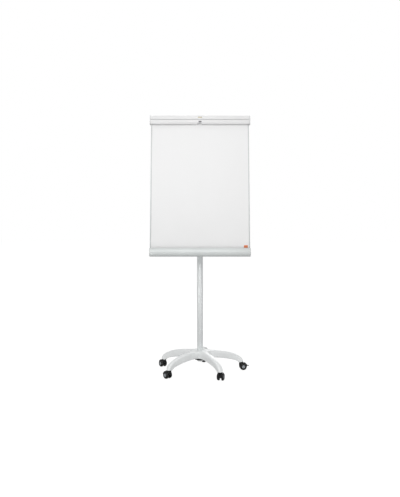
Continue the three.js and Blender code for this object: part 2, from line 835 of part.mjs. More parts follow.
for (const [place, azimuth] of Object.entries(legAzimuths)) {
  const castor = new THREE.Group();
  const outwards = azimuth - 90;
  const angle = THREE.MathUtils.degToRad(outwards);
  castor.position.set(legCircle * Math.cos(angle), legCircle * Math.sin(angle), 0);
  castor.rotation.z = THREE.MathUtils.degToRad(castorTrails[place] - 90);
  add(castor, `castor_stem_${place}`, castorStem(), steel);
  add(castor, `castor_hood_${place}`, castorHood(), slatePlastic);
  add(castor, `castor_axle_${place}`, castorAxle(), steel);
  add(castor, `castor_wheel_left_${place}`, castorWheel(1), blackPlastic);
  add(castor, `castor_wheel_right_${place}`, castorWheel(-1), blackPlastic);
  if (brakedCastors.includes(place)) add(castor, `brake_pedal_${place}`, brakePedal(), blackPlastic);
  easel.add(castor);
}

const board = new THREE.Group();
board.position.set(0, -pivotForward, pivotHeight);
board.rotation.x = THREE.MathUtils.degToRad(-lean);
easel.add(board);

add(board, "board_bracket", boardBracket(), blackPlastic);
add(board, "tilt_bolt", tiltBolt(), steel);
const tiltKnobMesh = add(board, "tilt_knob", tiltKnob(), blackPlastic);
tiltKnobMesh.position.x = bracketSide;
add(board, "board_back", panel(coreBack + gap, panelBack), silver);
add(board, "board_core", panel(faceBack + gap, coreBack), boardCore);
add(board, "board_face", panel(panelFront, faceBack), whitePaint);
add(board, "top_rail", topRail(), railPaint);
add(board, "clamp_flap", clampFlap(), railPaint);
add(board, "pen_tray", penTray(), silver);
for (const [word, side] of [["left", -1], ["right", 1]]) {
  add(board, `frame_${word}`, frameSide(side), silver);
  add(board, `rail_end_${word}`, railEndCap(side), railPaint);
  add(board, `tray_end_${word}`, trayEndCap(side), railPaint);
  add(board, `clamp_pin_${word}`, clampPin(side), steel);
  add(board, `clamp_spring_${word}`, clampSpring(side), steel);
  add(board, `pad_hook_${word}`, padHook(), blackPlastic).position.x = (side * hookSpacing) / 2;
}
add(board, "lift_tab", trim(tabWidth, flapBottom + notchHeight + tabAboveNotch, tabHeight), slatePlastic);
add(board, "badge", trim(badgeWidth, boardTop - badgeDrop - badgeHeight, badgeHeight), bronze);
add(board, "corner_label", cornerLabel(), orange);

const tipAt = (azimuth) => -legCircle * Math.cos(THREE.MathUtils.degToRad(azimuth));
const tips = Object.values(legAzimuths).map(tipAt);
easel.position.y = -(Math.min(...tips) + Math.max(...tips)) / 2;

export default easel;
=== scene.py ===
# Mobile flipchart easel: the looks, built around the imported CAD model. The world is in metres, +Z up, and the
# writing face looks along -Y. Shapes are drawn in millimetres and scaled as they are placed.
import json
import math

import bmesh
import bpy
from mathutils import Matrix, Vector


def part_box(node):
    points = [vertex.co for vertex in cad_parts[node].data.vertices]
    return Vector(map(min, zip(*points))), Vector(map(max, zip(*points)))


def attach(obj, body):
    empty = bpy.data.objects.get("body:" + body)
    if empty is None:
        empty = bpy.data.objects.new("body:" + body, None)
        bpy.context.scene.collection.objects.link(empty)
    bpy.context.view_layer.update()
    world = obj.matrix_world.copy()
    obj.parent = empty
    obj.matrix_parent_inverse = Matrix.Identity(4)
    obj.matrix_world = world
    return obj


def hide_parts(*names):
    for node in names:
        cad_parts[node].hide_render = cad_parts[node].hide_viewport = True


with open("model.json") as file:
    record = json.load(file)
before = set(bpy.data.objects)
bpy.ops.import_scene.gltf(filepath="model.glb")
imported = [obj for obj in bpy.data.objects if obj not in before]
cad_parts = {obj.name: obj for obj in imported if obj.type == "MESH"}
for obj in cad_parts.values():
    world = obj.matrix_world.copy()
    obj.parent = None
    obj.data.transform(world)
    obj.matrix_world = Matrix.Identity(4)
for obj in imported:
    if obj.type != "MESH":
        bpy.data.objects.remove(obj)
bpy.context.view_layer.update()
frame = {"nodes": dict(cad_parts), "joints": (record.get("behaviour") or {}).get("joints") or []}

MM = 0.001
UP = Vector((0, 0, 1))
joints = {joint["name"]: joint for joint in frame["joints"]}
places = [name.replace("castor_swivel_", "") for name in joints if name.startswith("castor_swivel_")]

foot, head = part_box("column_tube")
AXIS_Y = (foot.y + head.y) / 2
COLUMN = Matrix.Translation((0, AXIS_Y, 0))
LEAN = math.radians(7.4)
BOARD = Matrix.Translation(joints["board_tilt"]["pos_m"]) @ Matrix.Rotation(-LEAN, 4, "X")


# ---------------------------------------------------------------- camera
CAMERA_DISTANCE = 4.4
CAMERA_HEIGHT = 1.0775
CAMERA_LENS = 44.32
CAMERA_SHIFT = -0.0545


def make_camera():
    """A level camera in front of the column's axis. A shift frames the view instead of a tilt."""
    data = bpy.data.cameras.new("camera")
    data.lens = CAMERA_LENS
    data.sensor_width = 36.0
    data.shift_y = CAMERA_SHIFT
    data.clip_end = 200.0
    camera = bpy.data.objects.new("camera", data)
    camera.location = (0.0, AXIS_Y - CAMERA_DISTANCE, CAMERA_HEIGHT)
    camera.rotation_euler = (math.radians(90.0), 0.0, 0.0)
    bpy.context.scene.collection.objects.link(camera)
    bpy.context.scene.camera = camera


make_camera()


# ---------------------------------------------------------------- materials
BUMP_DISTANCE = 0.0002
COAT_ROUGHNESS = 0.15
GLOSS_FINENESS = 9
WORN_GAIN = 1.6
WORN_LIFT = 0.03
EDGE_FROM = 0.53
EDGE_TO = 0.62
ALONG_X = (0.012, 1.0, 1.0)
ALONG_Z = (1.0, 1.0, 0.012)
looks = {}


def srgb(*levels):
    """A linear colour from 0 to 255 levels."""
    shares = [level / 255 for level in levels]
    return [s / 12.92 if s <= 0.04045 else ((s + 0.055) / 1.055) ** 2.4 for s in shares] + [1.0]


def noise(tree, vector, scale, detail):
    texture = tree.nodes.new("ShaderNodeTexNoise")
    texture.inputs["Scale"].default_value = scale
    texture.inputs["Detail"].default_value = detail
    tree.links.new(vector, texture.inputs["Vector"])
    return texture.outputs["Fac"]


def ranged(tree, value, low, high, from_low=0.3, from_high=0.7):
    node = tree.nodes.new("ShaderNodeMapRange")
    node.inputs["From Min"].default_value = from_low
    node.inputs["From Max"].default_value = from_high
    node.inputs["To Min"].default_value = low
    node.inputs["To Max"].default_value = high
    tree.links.new(value, node.inputs["Value"])
    return node.outputs["Result"]


def mixed(tree, share, first, second):
    """A mix of two colours, each a list of numbers or another node's output."""
    node = tree.nodes.new("ShaderNodeMix")
    node.data_type = "RGBA"
    tree.links.new(share, node.inputs[0])
    for socket, value in ((node.inputs[6], first), (node.inputs[7], second)):
        if isinstance(value, list):
            socket.default_value = value
        else:
            tree.links.new(value, socket)
    return node.outputs[2]


def patched(tree, vector, color, patch, scale):
    """A colour that slow noise shifts a little darker and lighter."""
    darker = [level * (1 - patch) for level in color[:3]] + [1.0]
    lighter = [min(level * (1 + patch), 1.0) for level in color[:3]] + [1.0]
    return mixed(tree, ranged(tree, noise(tree, vector, scale, 5.0), 0.0, 1.0), darker, lighter)


def edge_worn(tree, shade, color, worn):
    """A shade with a lighter tone on its raised edges."""
    pointiness = tree.nodes.new("ShaderNodeNewGeometry").outputs["Pointiness"]
    bare = [min(level * WORN_GAIN + WORN_LIFT, 1.0) for level in color[:3]] + [1.0]
    return mixed(tree, ranged(tree, pointiness, 0.0, worn, EDGE_FROM, EDGE_TO), shade, bare)


def grained(tree, vector, strength, scale):
    """A normal that fine noise lifts."""
    bump = tree.nodes.new("ShaderNodeBump")
    bump.inputs["Strength"].default_value = strength
    bump.inputs["Distance"].default_value = BUMP_DISTANCE
    tree.links.new(noise(tree, vector, scale, 2.0), bump.inputs["Height"])
    return bump.outputs["Normal"]


def finish(name, levels, roughness, metallic=0.0, patch=0.04, patch_scale=6.0, rough_spread=0.05, grain=0.15,
           grain_scale=1800.0, stretch=(1.0, 1.0, 1.0), worn=0.0, coat=0.0):
    """A Principled material, with noise in its colour, gloss and surface, kept in looks under its name."""
    made = bpy.data.materials.new(name)
    made.use_nodes = True
    tree = made.node_tree
    shader = tree.nodes["Principled BSDF"]
    place = tree.nodes.new("ShaderNodeTexCoord").outputs["Object"]
    mapping = tree.nodes.new("ShaderNodeMapping")
    mapping.inputs["Scale"].default_value = stretch
    tree.links.new(place, mapping.inputs["Vector"])
    drawn = mapping.outputs["Vector"]
    color = srgb(*levels)
    shade = patched(tree, place, color, patch, patch_scale)
    if worn:
        shade = edge_worn(tree, shade, color, worn)
    tree.links.new(shade, shader.inputs["Base Color"])
    gloss = noise(tree, drawn, patch_scale * GLOSS_FINENESS, 4.0)
    spread = ranged(tree, gloss, roughness - rough_spread, roughness + rough_spread)
    tree.links.new(spread, shader.inputs["Roughness"])
    tree.links.new(grained(tree, drawn, grain, grain_scale), shader.inputs["Normal"])
    shader.inputs["Metallic"].default_value = metallic
    shader.inputs["Coat Weight"].default_value = coat
    shader.inputs["Coat Roughness"].default_value = COAT_ROUGHNESS
    looks[name] = made


finish("base_paint", (244, 246, 246), 0.36, 0.08, grain=0.3, grain_scale=2400, worn=0.3)
finish("column_paint", (240, 243, 243), 0.38, 0.35, patch=0.02, grain=0.1, stretch=ALONG_Z)
finish("steel", (176, 178, 181), 0.3, 1.0, patch=0.06, grain=0.25, grain_scale=2500, stretch=ALONG_Z)
finish("zinc", (186, 187, 184), 0.35, 1.0, patch=0.1, patch_scale=60, grain=0.1)
finish("black_plastic", (17, 18, 19), 0.38, patch=0.08, grain=0.5, grain_scale=2600, worn=0.15)
finish("hood_plastic", (10, 11, 13), 0.24, patch=0.08, grain=0.4, grain_scale=2600, worn=0.15)
finish("tyre", (8, 9, 10), 0.3, patch=0.15, patch_scale=70, grain=0.4, grain_scale=1600, worn=0.2)
# Light grey hub discs: partly the discs' own grey, partly painted highlight for the glints on the black
# castors.
finish("hub_disc", (158, 163, 168), 0.25, 0.1, patch=0.05, grain=0.2, grain_scale=2600)
finish("white_enamel", (236, 236, 236), 0.45, patch=0.008, patch_scale=3, rough_spread=0.015, grain=0.05,
       grain_scale=220, coat=0.06)
finish("back_sheet", (216, 219, 219), 0.45, 0.15, patch=0.02, grain=0.15, grain_scale=900)
finish("honeycomb", (176, 156, 126), 0.9, patch=0.12, patch_scale=300, grain=0.8, grain_scale=500)
finish("silver", (218, 222, 221), 0.5, 0.15, patch=0.02, grain=0.25, grain_scale=1500, stretch=ALONG_X)
finish("silver_upright", (202, 205, 205), 0.5, 0.15, patch=0.02, grain=0.25, grain_scale=1500,
       stretch=ALONG_Z)
finish("rail_paint", (231, 231, 231), 0.5, patch=0.02, grain=0.2, grain_scale=2200, worn=0.1)
finish("cap_plastic", (226, 227, 227), 0.45, patch=0.03, grain=0.4, grain_scale=2400)
finish("slate_plastic", (96, 96, 102), 0.4, patch=0.06, grain=0.4, grain_scale=2600, worn=0.2)
finish("bronze", (168, 160, 140), 0.32, 0.6, patch=0.05, patch_scale=90, grain=0.3, stretch=ALONG_X)
finish("label", (222, 122, 70), 0.4, patch=0.03, patch_scale=80, grain=0.1)


# ---------------------------------------------------------------- shapes, in millimetres
BEVEL_ANGLE = math.radians(30.0)
FLAT_ANGLE = math.radians(0.5)
ONTO_X = Matrix.Rotation(math.radians(90), 4, "Y")


def arc(cx, cy, rx, ry, start, end, steps):
    """Points along an ellipse's arc, between two angles in degrees."""
    turns = [math.radians(start + (end - start) * i / steps) for i in range(steps + 1)]
    return [(cx + rx * math.cos(turn), cy + ry * math.sin(turn)) for turn in turns]


def circle(cx, cy, radius, sides):
    return arc(cx, cy, radius, radius, 0, 360 - 360 / sides, sides - 1)


AXES = {
    "x": Matrix(((0, 0, 1, 0), (1, 0, 0, 0), (0, 1, 0, 0), (0, 0, 0, 1))),
    "y": Matrix(((1, 0, 0, 0), (0, 0, -1, 0), (0, 1, 0, 0), (0, 0, 0, 1))),
    "z": Matrix.Identity(4),
}


def skinned(rings, closed=False):
    """A skin over rings of points. Its ends are capped unless the last ring meets the first."""
    shape = bmesh.new()
    made = [[shape.verts.new(point) for point in ring] for ring in rings]
    pairs = list(zip(made, made[1:] + made[:1])) if closed else list(zip(made, made[1:]))
    for ring, following in pairs:
        for i in range(len(ring)):
            k = (i + 1) % len(ring)
            shape.faces.new((ring[i], ring[k], following[k], following[i]))
    if not closed:
        shape.faces.new(made[0])
        shape.faces.new(made[-1])
    bmesh.ops.remove_doubles(shape, verts=shape.verts, dist=1e-4)
    bmesh.ops.recalc_face_normals(shape, faces=shape.faces)
    return shape


def prism(outline, start, end, axis="x"):
    """An outline drawn out along an axis. Along X it lies in Y-Z, along Y in X-Z and along Z in X-Y."""
    low, high = (start, end) if axis != "y" else (-end, -start)
    shape = skinned([[(a, b, h) for a, b in outline] for h in (low, high)])
    bmesh.ops.transform(shape, matrix=AXES[axis], verts=shape.verts)
    return shape


def lathe(profile, sides=96):
    """A profile of (radius, height) points turned about Z. It is closed on itself or starts and ends on Z."""
    rings = []
    for i in range(sides):
        turn = 2 * math.pi * i / sides
        rings.append([(r * math.cos(turn), r * math.sin(turn), h) for r, h in profile])
    return skinned(rings, closed=True)


def drum(radius, low, high, sides=96):
    return lathe([(0, low), (radius, low), (radius, high), (0, high)], sides)


def flange(inner, outer, low, high, ease_low, ease_high):
    """The profile of a ring, or of a pin where inner is 0, with eased outer corners."""
    return [(inner, low), (outer - ease_low, low), (outer, low + ease_low), (outer, high - ease_high),
            (outer - ease_high, high), (inner, high)]


def ring_tube(outer, inner, low, high, ease):
    return lathe([(inner, low), (outer - ease, low), (outer, low + ease), (outer, high - ease),
                  (outer - ease, high), (inner + ease, high), (inner, high - ease)])


def joined(*shapes):
    """Several shapes as one, each still a body of its own."""
    whole = bmesh.new()
    for shape in shapes:
        mesh = bpy.data.meshes.new("part")
        shape.to_mesh(mesh)
        shape.free()
        whole.from_mesh(mesh)
        bpy.data.meshes.remove(mesh)
    return whole


def copied(shape, matrices):
    """Copies of a shape, joined."""
    mesh = bpy.data.meshes.new("part")
    shape.to_mesh(mesh)
    shape.free()
    whole = bmesh.new()
    for matrix in matrices:
        moved = mesh.copy()
        moved.transform(matrix)
        whole.from_mesh(moved)
        bpy.data.meshes.remove(moved)
    return whole


def thing(name, shape):
    mesh = bpy.data.meshes.new(name)
    shape.to_mesh(mesh)
    shape.free()
    made = bpy.data.objects.new(name, mesh)
    bpy.context.scene.collection.objects.link(made)
    return made


def applied(made):
    """Makes an object's modifiers part of its mesh."""
    bpy.context.view_layer.update()
    evaluated = made.evaluated_get(bpy.context.evaluated_depsgraph_get())
    mesh = bpy.data.meshes.new_from_object(evaluated)
    made.modifiers.clear()
    made.data = mesh
    return made


def taken(made):
    """The shape of an object, which is then removed."""
    shape = bmesh.new()
    shape.from_mesh(made.data)
    bpy.data.objects.remove(made)
    return shape


def eased(made, width, segments=3):
    """Rounds the edges that are sharper than the bevel angle."""
    bevel = made.modifiers.new("bevel", "BEVEL")
    bevel.width = width
    bevel.segments = segments
    bevel.limit_method = "ANGLE"
    bevel.angle_limit = BEVEL_ANGLE
    bevel.use_clamp_overlap = False
    return applied(made)


def dressed(made, look, body, nodes=(), smooth=35.0):
    """Gives a finished object its material and shading, and ties it to the frame."""
    made.data.materials.clear()
    made.data.materials.append(looks[look])
    made.data.shade_smooth()
    made.data.set_sharp_from_angle(angle=math.radians(smooth))
    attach(made, body)
    if nodes:
        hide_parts(*nodes)
    return made


def piece(name, shape, look, body, place=Matrix.Identity(4), nodes=(), edge=0.0, smooth=35.0):
    """A piece from a shape in millimetres, put in its place in the world."""
    made = thing(name, shape)
    made.data.transform(place @ Matrix.Scale(MM, 4))
    if edge:
        eased(made, edge * MM)
    return dressed(made, look, body, nodes, smooth)


def refined(node, look, body, edge):
    """A CAD piece with its flats merged and its edges rounded."""
    shape = bmesh.new()
    shape.from_mesh(frame["nodes"][node].data)
    bmesh.ops.remove_doubles(shape, verts=shape.verts, dist=1e-6)
    bmesh.ops.dissolve_limit(shape, angle_limit=FLAT_ANGLE, verts=shape.verts, edges=shape.edges)
    made = eased(thing(f"{node}_finished", shape), edge * MM)
    return dressed(made, look, body, [node])


def kept(node, look):
    """A CAD piece that is shown as it is, in a better material."""
    mesh = frame["nodes"][node].data
    mesh.materials.clear()
    mesh.materials.append(looks[look])
    mesh.shade_smooth()
    mesh.set_sharp_from_angle(angle=math.radians(35.0))


def cut(made, tool):
    """Takes one object out of another."""
    boolean = made.modifiers.new("cut", "BOOLEAN")
    boolean.operation = "DIFFERENCE"
    boolean.solver = "EXACT"
    boolean.object = tool
    applied(made)
    bpy.data.objects.remove(tool)


def screw(radius, height):
    """A pan-head screw on +Z with a six-lobed recess, its underside at the origin."""
    ease = height * 0.8
    crown = arc(radius - ease, 0, ease, height, 0, 80, 6)
    made = thing("screw", lathe([(0, 0)] + crown + [(0, height)], 32))
    turns = [2 * math.pi * i / 24 for i in range(24)]
    reach = radius * 0.42
    star = [(reach * (1 + 0.14 * math.cos(6 * turn)), turn) for turn in turns]
    recess = [(r * math.cos(turn), r * math.sin(turn)) for r, turn in star]
    cut(made, thing("recess", prism(recess, height * 0.35, height * 2, "z")))
    return taken(made)


# ---------------------------------------------------------------- star base
LEG_CIRCLE = 300.0
TIP_RADIUS = 17.0
CASTOR_HEIGHT = 55.5
HUB_TOP = 154.5
HUB_UNDER = 104.0
HUB_SKIRT = 52.0
HUB_DOME = 36.0
HUB_CORNER = 14.0
LEG_HALF_WIDTH = 21.0
LEG_START = 4.0
LEG_STATIONS = 64
LEAST_HALF = 0.5
LEAST_DEPTH = 1.0
HUB_FLARE = 27.0
FLARE_REACH = 21.0
CROWN = 12.0
LEG_WALL = 3.5
LEG_CURVE = 2.25
ARCH_CURVE = 1.8
OPEN_UNDER = 20.0
COLUMN_RADIUS = 21.0
GAP = 0.3
SNUG = 0.1
BORE_LOW = 90.0
BORE_HIGH = 200.0
ROOM_LOW = 60.0
BOSS_WALL = 5.5
BOSS_BOTTOM = 91.5
BOSS_FLOOR = 2.7
BOSS_TOP = HUB_TOP - 6
BOSS_SHOULDER = HUB_TOP - 12
BOSS_LIP = 1.0
BOLT_HOLE = 6.0
# The black ring under the hub is painted shade, where the hub's front edge throws its shade.
RING_RADIUS = 40.0
RING_LOW = HUB_UNDER - 16
RING_HIGH = HUB_UNDER - 1
RING_EASE = 1.5
RIB_PLACES = (110.0, 165.0, 215.0)
RIB_HALF = 1.2
RIB_BITE = 0.5
RIB_RISE = 6.0
RIB_CORNER = 8.0
COVER_RADIUS = 20.2
COVER_LOW = 74.5
COVER_TOP = BOSS_BOTTOM - 0.4
COVER_CORNER = 4.0
VOXEL = 2.4
ARCH_END = LEG_CIRCLE - TIP_RADIUS
LEG_END = LEG_CIRCLE + TIP_RADIUS
BOSS_INSIDE = COLUMN_RADIUS + GAP
BOSS_OUTSIDE = BOSS_INSIDE + BOSS_WALL


def leg_top(r):
    share = min(r / LEG_END, 1) ** LEG_CURVE
    return CASTOR_HEIGHT + (HUB_TOP - CASTOR_HEIGHT) * (1 - share) ** (1 / LEG_CURVE)


def leg_under(r):
    share = min(r / ARCH_END, 1) ** ARCH_CURVE
    return CASTOR_HEIGHT + (HUB_UNDER - CASTOR_HEIGHT) * (1 - share) ** (1 / ARCH_CURVE)


def leg_half(r):
    if r > LEG_CIRCLE:
        return math.sqrt(max(TIP_RADIUS ** 2 - (r - LEG_CIRCLE) ** 2, 0))
    taper = LEG_HALF_WIDTH + (TIP_RADIUS - LEG_HALF_WIDTH) * r / LEG_CIRCLE
    return taper + HUB_FLARE * math.exp(-max(r - FLARE_REACH * 2, 0) / FLARE_REACH)


def leg_ring(r, inset, drop):
    """A leg's section at a radius, shrunk by an inset and with its underside lowered by a drop."""
    half = max(leg_half(r) - inset, LEAST_HALF)
    top = leg_top(r) - inset
    under = min(leg_under(r) - drop, top - LEAST_DEPTH)
    crown = min(CROWN, half * 0.9, (top - under) * 0.8)
    side = [(half, under)] + arc(half - crown, top - crown, crown, crown, 0, 90, 8)
    return [(r, y, z) for y, z in side] + [(r, -y, z) for y, z in reversed(side)]


def leg_skin(inset, drop, end):
    """A leg from the hub out to an end, with its sections closer together towards the end."""
    shares = [math.sin(math.pi / 2 * i / LEG_STATIONS) for i in range(LEG_STATIONS + 1)]
    return skinned([leg_ring(LEG_START + (end - LEG_START) * share, inset, drop) for share in shares])


def melted(made, rounds):
    """Fuses the bodies of a shape into one and smooths where they meet."""
    remesh = made.modifiers.new("fuse", "REMESH")
    remesh.mode = "VOXEL"
    remesh.voxel_size = VOXEL
    smooth = made.modifiers.new("smooth", "SMOOTH")
    smooth.factor = 0.5
    smooth.iterations = rounds
    return applied(made)


def legs_turned(shape):
    turns = []
    for place in places:
        stem = Vector(joints[f"castor_swivel_{place}"]["pos_m"])
        turns.append(Matrix.Rotation(math.atan2(stem.y - AXIS_Y, stem.x), 4, "Z"))
    return copied(shape, turns)


def star_outer():
    corner = arc(HUB_DOME, HUB_TOP - HUB_CORNER, HUB_SKIRT - HUB_DOME, HUB_CORNER, 0, 90, 8)
    dome = lathe([(0, HUB_UNDER), (HUB_SKIRT, HUB_UNDER)] + corner + [(0, HUB_TOP)])
    legs = legs_turned(leg_skin(0, 0, LEG_END - GAP))
    return melted(thing("star_base_finished", joined(legs, dome)), 8)


def star_hollow():
    room = drum(HUB_SKIRT - LEG_WALL, ROOM_LOW, HUB_TOP - CROWN - LEG_WALL)
    legs = legs_turned(leg_skin(LEG_WALL, OPEN_UNDER, ARCH_END - TIP_RADIUS))
    return melted(thing("hollow", joined(legs, room)), 3)


def make_star_base():
    made = star_outer()
    cut(made, star_hollow())
    cut(made, thing("bore", drum(COLUMN_RADIUS + GAP, BORE_LOW, BORE_HIGH)))
    made.data.transform(COLUMN @ Matrix.Scale(MM, 4))
    dressed(made, "base_paint", "base", ["star_base"], smooth=40)


def make_hub():
    """The boss that holds the column's foot, and a black ring round it: painted shade under the hub's front
    edge.
    """
    floor = BOSS_BOTTOM + BOSS_FLOOR
    boss = [(BOSS_INSIDE, BOSS_TOP), (BOSS_INSIDE, floor), (BOLT_HOLE, floor), (BOLT_HOLE, BOSS_BOTTOM),
            (BOSS_OUTSIDE, BOSS_BOTTOM), (BOSS_OUTSIDE, BOSS_SHOULDER), (BOSS_INSIDE + BOSS_LIP, BOSS_TOP)]
    piece("hub_boss", lathe(boss), "base_paint", "base", COLUMN, edge=0.8)
    # Painted shade: a black ring where the hub's front edge throws its shade.
    ring = ring_tube(RING_RADIUS, BOSS_OUTSIDE + SNUG, RING_LOW, RING_HIGH, RING_EASE)
    piece("hub_ring", ring, "black_plastic", "base", COLUMN)


def rib(r):
    """A rib across the hollow of a leg, let into its sides and its top."""
    half = leg_half(r) - LEG_WALL + RIB_BITE
    top = leg_top(r) - LEG_WALL + RIB_BITE
    low = leg_under(r) + RIB_RISE
    corner = half - RIB_CORNER
    outline = [(-half, low), (half, low), (half, top - RIB_CORNER), (corner, top), (-corner, top),
               (-half, top - RIB_CORNER)]
    return prism(outline, r - RIB_HALF, r + RIB_HALF)


def make_ribs():
    ribs = legs_turned(joined(*[rib(r) for r in RIB_PLACES]))
    piece("leg_ribs", ribs, "base_paint", "base", COLUMN, edge=0.4)


def make_base_cover():
    """The plate under the boss that hides the base bolt's head."""
    corner = arc(COVER_RADIUS - COVER_CORNER, COVER_LOW + COVER_CORNER, COVER_CORNER, COVER_CORNER, -90, 0, 6)
    plate = lathe([(0, COVER_LOW)] + corner + [(COVER_RADIUS, COVER_TOP), (0, COVER_TOP)])
    piece("base_cover", plate, "base_paint", "base", COLUMN, ["base_bolt"], edge=0.4)


# ---------------------------------------------------------------- column, clamp and head
TUBE_WALL = 2.0
BUSH_INSIDE = 17.3
BUSH_OUTSIDE = 18.7
BUSH_RIM = 20.4
BUSH_FLANGE = 2.0
BUSH_EASE = 0.5
KNOB_RADIUS = 16.5
KNOB_LOBE = 2.2
KNOB_LOBES = 5
KNOB_BACK = 5.0
KNOB_FRONT = 22.0
KNOB_NECK = 8.2
CAP_RADIUS = 7.0
CAP_EASE = 1.5
CAP_EDGE = 1.2
CAP_HEIGHT = 1.6
SHANK_RADIUS = 4.0
SHANK_REACH = 19.0
SHANK_EASE = 0.6
MAST_RADIUS = 16.9
KEYWAY_HALF = 2.8
KEYWAY_FLOOR = 15.85


def heights(node):
    """A CAD node's lowest and highest points, in millimetres."""
    return [corner.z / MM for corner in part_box(node)]


def knob():
    """A five-lobed hand knob on X, its neck's face at the origin."""
    outline = []
    for i in range(100):
        turn = 2 * math.pi * i / 100
        reach = KNOB_RADIUS + KNOB_LOBE * math.cos(KNOB_LOBES * turn)
        outline.append((reach * math.cos(turn), reach * math.sin(turn)))
    steps = [(KNOB_BACK, 0.86), (KNOB_BACK + 1.2, 0.95), (KNOB_BACK + 3, 1.0), (KNOB_FRONT - 3.5, 1.0),
             (KNOB_FRONT - 1.2, 0.95), (KNOB_FRONT, 0.82)]
    body = skinned([[(x, y * share, z * share) for y, z in outline] for x, share in steps])
    neck = prism(circle(0, 0, KNOB_NECK, 32), 0.2, KNOB_BACK + 1)
    return joined(body, neck)


def make_knob(name):
    turn = Matrix.Translation(joints[f"{name}_turn"]["pos_m"])
    piece(f"{name}_finished", knob(), "black_plastic", name, turn, [name], smooth=40)
    crown = arc(CAP_RADIUS - CAP_EASE, 0, CAP_EASE, CAP_EDGE, 0, 90, 5)
    cap = lathe([(0, 0)] + crown + [(0, CAP_HEIGHT)], 48)
    front = turn @ Matrix.Translation((KNOB_FRONT * MM, 0, 0)) @ ONTO_X
    piece(f"{name}_cap", cap, "slate_plastic", name, front, smooth=40)


def make_guide_bush():
    low, high = heights("guide_bush")
    under = high - BUSH_FLANGE
    bush = lathe([(BUSH_INSIDE, low), (BUSH_OUTSIDE, low), (BUSH_OUTSIDE, under), (BUSH_RIM - SNUG, under),
                  (BUSH_RIM, high - BUSH_EASE), (BUSH_RIM - BUSH_EASE, high), (BUSH_INSIDE + BUSH_EASE, high),
                  (BUSH_INSIDE, high - BUSH_EASE)])
    piece("guide_bush_finished", bush, "black_plastic", "base", COLUMN, ["guide_bush"])


def make_column():
    low, high = heights("column_tube")
    tube = ring_tube(COLUMN_RADIUS - SNUG, COLUMN_RADIUS - TUBE_WALL, low, high, 0.5)
    piece("column_tube_finished", tube, "column_paint", "base", COLUMN, ["column_tube"],
          smooth=50)
    make_guide_bush()
    refined("clamp_collar", "black_plastic", "base", 0.8)
    kept("column_plug", "slate_plastic")
    make_knob("height_knob")
    make_knob("tilt_knob")
    shank = lathe([(0, -SHANK_REACH), (SHANK_RADIUS - SHANK_EASE, -SHANK_REACH),
                   (SHANK_RADIUS, SHANK_EASE - SHANK_REACH), (SHANK_RADIUS, 1), (0, 1)], 32)
    start = Matrix.Translation(joints["height_knob_turn"]["pos_m"])
    piece("height_knob_screw", shank, "zinc", "height_knob", start @ ONTO_X)


def make_mast():
    """The inner tube, with the flat of its key groove to the back, and the head on it."""
    outline = []
    for x, y in circle(0, 0, MAST_RADIUS, 144):
        grooved = abs(x) < KEYWAY_HALF and y > 0
        outline.append((x, min(y, KEYWAY_FLOOR)) if grooved else (x, y))
    tube = prism(outline, *heights("inner_tube"), "z")
    piece("inner_tube_finished", tube, "steel", "mast", COLUMN, ["inner_tube"])
    refined("head_socket", "black_plastic", "mast", 0.9)


# ---------------------------------------------------------------- board
PANEL_FRONT = -33.6
PANEL_BACK = -23.0
BOARD_TOP = 483.0
BOARD_BOTTOM = -520.0
TRAY_HEIGHT = 57.0
TRAY_WALL = 2.0
TRAY_REACH = 44.0
TRAY_DEPTH = 26.0
TRAY_RISE = 30.0
TRAY_ROOT = -75.2
TRAY_LIP = 69.0
TRAY_BACK = 50.0
TRAY_FENCE = 21.0
TRAY_END = 348.2
RAIL_END = 352.0
BRACKET_BACK = -19.7
BRACKET_SCREWS = [(x, z) for x in (-41, 41) for z in (-76, 76)]
RAIL_SCREWS = [(-28, BOARD_TOP - 30), (-46, BOARD_TOP - 12)]
TRAY_SCREWS = [(-30, BOARD_BOTTOM + 12), (-56, BOARD_BOTTOM + 22)]
RAIL_CAP = 6.3
TRAY_CAP = 3.6
SCREW_SUNK = 1.6


def tray_curve(inset):
    """The tray's rounded front from its root up to its lip, moved in by an inset."""
    y = PANEL_FRONT - TRAY_REACH + TRAY_DEPTH
    z = BOARD_BOTTOM + TRAY_HEIGHT - TRAY_RISE * math.sin(math.radians(TRAY_LIP))
    return arc(y, z, inset - TRAY_DEPTH, TRAY_RISE - inset, TRAY_ROOT, TRAY_LIP, 48)


def make_tray():
    back = PANEL_BACK + TRAY_WALL + GAP
    middle = PANEL_FRONT - GAP
    floor = BOARD_BOTTOM + TRAY_WALL
    inner = [point for point in tray_curve(TRAY_WALL) if point[1] > floor + GAP]
    outer = [(y, max(z, BOARD_BOTTOM)) for y, z in reversed(tray_curve(0))]
    top = BOARD_BOTTOM + TRAY_BACK
    outline = [(back, BOARD_BOTTOM), (back, top), (back - TRAY_WALL, top), (back - TRAY_WALL, floor),
               (middle, floor), (middle, floor + TRAY_FENCE), (middle - TRAY_WALL, floor + TRAY_FENCE),
               (middle - TRAY_WALL, floor)] + inner + outer
    shape = prism(outline, -TRAY_END, TRAY_END)
    piece("pen_tray_finished", shape, "silver", "board", BOARD, ["pen_tray"], edge=0.5,
          smooth=30)


def make_board():
    kept("board_face", "white_enamel")
    kept("board_core", "honeycomb")
    kept("board_back", "back_sheet")
    refined("top_rail", "rail_paint", "board", 0.6)
    refined("clamp_flap", "rail_paint", "clamp", 0.6)
    refined("board_bracket", "steel", "board", 0.6)
    refined("tilt_bolt", "zinc", "board", 0.6)
    for word in ("left", "right"):
        refined(f"frame_{word}", "silver_upright", "board", 0.35)
        refined(f"rail_end_{word}", "cap_plastic", "board", 1.2)
        refined(f"tray_end_{word}", "cap_plastic", "board", 1.0)
        kept(f"clamp_pin_{word}", "zinc")
        kept(f"clamp_spring_{word}", "steel")
        refined(f"pad_hook_{word}", "black_plastic", f"hook_{word}", 0.3)
    make_tray()


def make_trim():
    refined("badge", "bronze", "board", 0.5)
    refined("lift_tab", "slate_plastic", "clamp", 0.5)
    refined("corner_label", "label", "board", 0.15)


